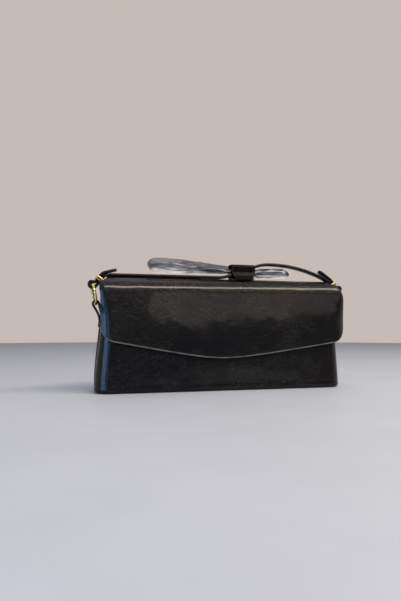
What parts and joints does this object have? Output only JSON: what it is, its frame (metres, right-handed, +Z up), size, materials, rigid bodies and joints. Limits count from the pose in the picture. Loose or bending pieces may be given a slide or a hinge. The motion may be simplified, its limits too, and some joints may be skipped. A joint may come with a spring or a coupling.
{
  "type": "shoulder bag",
  "caption": "Long, low leather shoulder bag with a magnetic flap, a flat strap through two end rings, a keeper and a clear film band.",
  "frame": {"origin": "on the ground, in the middle of the base panel's flat underside", "axes": "+X along the bag to the right seen from the front, -Y out of the front, +Z up"},
  "size_m": [0.2766, 0.0572, 0.1322],
  "materials": {
    "black_leather": "glossy, crinkled",
    "strap_leather": "satin",
    "lining_cloth": "matte",
    "stiff_board": "matte",
    "gold_metal": "polished",
    "magnet_steel": "satin",
    "clear_film": "clear, glossy"
  },
  "bodies": {
    "bag": {"front_panel": "black_leather", "back_panel": "black_leather", "gusset_left": "black_leather", "gusset_right": "black_leather", "base_panel": "black_leather", "base_board": "stiff_board", "lining_front": "lining_cloth", "lining_back": "lining_cloth", "lining_left": "lining_cloth", "lining_right": "lining_cloth", "lining_base": "lining_cloth", "slip_pocket": "lining_cloth", "magnet_front": "magnet_steel", "tab_left": "strap_leather", "tab_right": "strap_leather"},
    "flap": {"flap_outer": "black_leather", "flap_lining": "lining_cloth", "magnet_flap": "magnet_steel"},
    "strap_set": {"strap": "strap_leather", "keeper": "black_leather", "clear_film": "clear_film"},
    "left_ring": {"ring_left": "gold_metal"},
    "right_ring": {"ring_right": "gold_metal"},
    "left_slider": {"slider_left": "gold_metal"},
    "right_slider": {"slider_right": "gold_metal"}
  },
  "joints": [
    {"name": "flap_hinge", "type": "hinge", "parent": "bag", "child": "flap", "pos_m": [0, -0.0182, 0.11033], "axis": [-1, 0, 0], "range_deg": [0, 140]},
    {"name": "strap_swing", "type": "hinge", "parent": "bag", "child": "strap_set", "pos_m": [0, -0.007, 0.0965], "axis": [-1, 0, 0], "range_deg": [-15, 48]},
    {"name": "left_ring_turn", "type": "hinge", "parent": "bag", "child": "left_ring", "pos_m": [-0.1325, -0.007, 0.0965], "axis": [-0.9816, 0, -0.1908], "continuous": true},
    {"name": "right_ring_turn", "type": "hinge", "parent": "bag", "child": "right_ring", "pos_m": [0.1325, -0.007, 0.0965], "axis": [-0.9816, 0, 0.1908], "continuous": true},
    {"name": "left_slider_slide", "type": "slide", "parent": "strap_set", "child": "left_slider", "axis": [0.6157, 0, 0.788], "range_m": [-0.0012, 0.001]},
    {"name": "right_slider_slide", "type": "slide", "parent": "strap_set", "child": "right_slider", "axis": [-0.6157, 0, 0.788], "range_m": [-0.0012, 0.001]}
  ]
}
